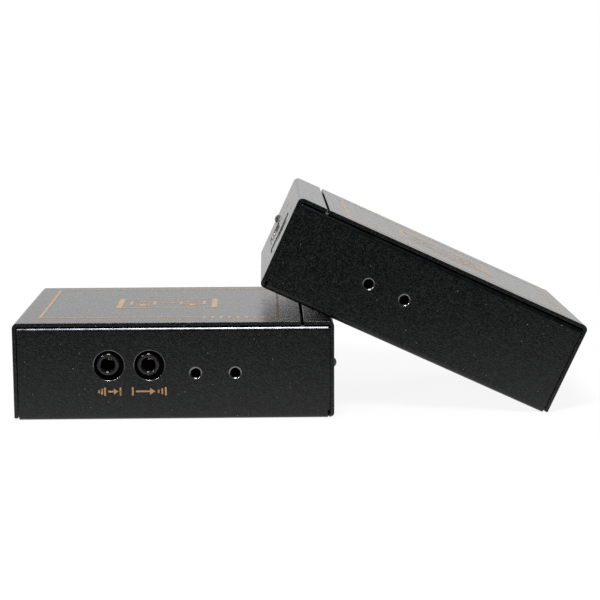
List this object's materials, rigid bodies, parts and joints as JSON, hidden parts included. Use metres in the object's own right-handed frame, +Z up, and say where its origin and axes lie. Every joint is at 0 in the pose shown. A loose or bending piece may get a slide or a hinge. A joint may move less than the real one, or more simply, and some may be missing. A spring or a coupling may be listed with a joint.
{
  "type": "hdmi extender",
  "caption": "Slim black sheet-metal sender box with gold line print, and a matching receiver box leaning on it, with picture, network, power and infrared sockets.",
  "frame": {"origin": "under the middle of the pair's bounding box, on the surface that the sender lies on", "axes": "+X along both boxes from the sender's network end towards the receiver, +Y from the sender's jack side to its other long side, +Z up"},
  "size_m": [0.153, 0.066, 0.0584],
  "materials": {
    "case": "black powder coat, finely grained, satin",
    "screws": "black zinc",
    "board": "green solder mask",
    "nickel": "nickel plate",
    "plastic": "black moulding, satin",
    "gold": "gold flash on contacts, and gold ink on the case",
    "copper": "spring bronze",
    "lamp": "clear lamp",
    "chip": "moulded epoxy",
    "heat_sink": "extruded, as drawn",
    "can": "drawn can"
  },
  "bodies": {
    "sender": {"sender_base": "case", "sender_walls": "case", "sender_cover": "case", "sender_cover_screws": "screws", "sender_circuit_board": "board", "sender_board_standoffs": "nickel", "sender_board_screws": "screws", "sender_picture_socket_shell": "nickel", "sender_picture_socket_insert": "plastic", "sender_picture_socket_contacts": "gold", "sender_power_socket_body": "plastic", "sender_power_socket_pin": "nickel", "sender_network_socket_shield": "nickel", "sender_network_socket_body": "plastic", "sender_ir_in_jack_body": "plastic", "sender_ir_in_jack_terminals": "nickel", "sender_ir_out_jack_body": "plastic", "sender_ir_out_jack_terminals": "nickel", "sender_status_lamp": "lamp", "sender_lamp_leads": "nickel", "sender_main_chip": "chip", "sender_heat_sink": "heat_sink", "sender_line_transformer": "plastic", "sender_capacitors": "can", "sender_power_choke": "chip", "sender_crystal": "nickel"},
    "receiver": {"receiver_base": "case", "receiver_walls": "case", "receiver_cover": "case", "receiver_cover_screws": "screws", "receiver_circuit_board": "board", "receiver_board_standoffs": "nickel", "receiver_board_screws": "screws", "receiver_picture_socket_shell": "nickel", "receiver_picture_socket_insert": "plastic", "receiver_picture_socket_contacts": "gold", "receiver_power_socket_body": "plastic", "receiver_power_socket_pin": "nickel", "receiver_network_socket_shield": "nickel", "receiver_network_socket_body": "plastic", "receiver_ir_in_jack_body": "plastic", "receiver_ir_in_jack_terminals": "nickel", "receiver_ir_out_jack_body": "plastic", "receiver_ir_out_jack_terminals": "nickel", "receiver_status_lamp": "lamp", "receiver_lamp_leads": "nickel", "receiver_main_chip": "chip", "receiver_heat_sink": "heat_sink", "receiver_line_transformer": "plastic", "receiver_capacitors": "can", "receiver_power_choke": "chip", "receiver_crystal": "nickel"},
    "sender_power_leaf": {"sender_power_socket_leaf": "copper"},
    "sender_network_contacts": {"sender_network_socket_contacts": "gold"},
    "sender_ir_in_leaf": {"sender_ir_in_jack_leaf": "copper"},
    "sender_ir_out_leaf": {"sender_ir_out_jack_leaf": "copper"},
    "receiver_power_leaf": {"receiver_power_socket_leaf": "copper"},
    "receiver_network_contacts": {"receiver_network_socket_contacts": "gold"},
    "receiver_ir_in_leaf": {"receiver_ir_in_jack_leaf": "copper"},
    "receiver_ir_out_leaf": {"receiver_ir_out_jack_leaf": "copper"}
  },
  "joints": [
    {"name": "receiver_lift", "type": "slide", "parent": "sender", "child": "receiver", "axis": [0, 0, 1], "range_m": [0, 0.04]},
    {"name": "sender_power_leaf_flex", "type": "hinge", "parent": "sender", "child": "sender_power_leaf", "pos_m": [-0.00146, 0.013, 0.00984], "axis": [0, 1, 0], "range_deg": [0, 5], "stiffness_Nm_per_rad": 0.1},
    {"name": "sender_network_contacts_flex", "type": "hinge", "parent": "sender", "child": "sender_network_contacts", "pos_m": [-0.07387, -0.002, 0.0199], "axis": [0, -1, 0], "range_deg": [0, 12], "stiffness_Nm_per_rad": 0.1},
    {"name": "sender_ir_in_leaf_flex", "type": "hinge", "parent": "sender", "child": "sender_ir_in_leaf", "pos_m": [-0.05098, -0.02102, 0.01758], "axis": [-1, 0, 0], "range_deg": [0, 8], "stiffness_Nm_per_rad": 0.1},
    {"name": "sender_ir_out_leaf_flex", "type": "hinge", "parent": "sender", "child": "sender_ir_out_leaf", "pos_m": [-0.04028, -0.02102, 0.01758], "axis": [-1, 0, 0], "range_deg": [0, 8], "stiffness_Nm_per_rad": 0.1},
    {"name": "receiver_power_leaf_flex", "type": "hinge", "parent": "receiver", "child": "receiver_power_leaf", "pos_m": [0.00195, -0.013, 0.03978], "axis": [0, -1, 0], "range_deg": [0, 5], "stiffness_Nm_per_rad": 0.1},
    {"name": "receiver_network_contacts_flex", "type": "hinge", "parent": "receiver", "child": "receiver_network_contacts", "pos_m": [0.07193, 0.002, 0.01867], "axis": [0, 1, 0], "range_deg": [0, 12], "stiffness_Nm_per_rad": 0.1},
    {"name": "receiver_ir_in_leaf_flex", "type": "hinge", "parent": "receiver", "child": "receiver_ir_in_leaf", "pos_m": [0.05017, 0.02102, 0.02612], "axis": [0.9085, 0, -0.4179], "range_deg": [0, 8], "stiffness_Nm_per_rad": 0.1},
    {"name": "receiver_ir_out_leaf_flex", "type": "hinge", "parent": "receiver", "child": "receiver_ir_out_leaf", "pos_m": [0.04045, 0.02102, 0.03059], "axis": [0.9085, 0, -0.4179], "range_deg": [0, 8], "stiffness_Nm_per_rad": 0.1}
  ]
}
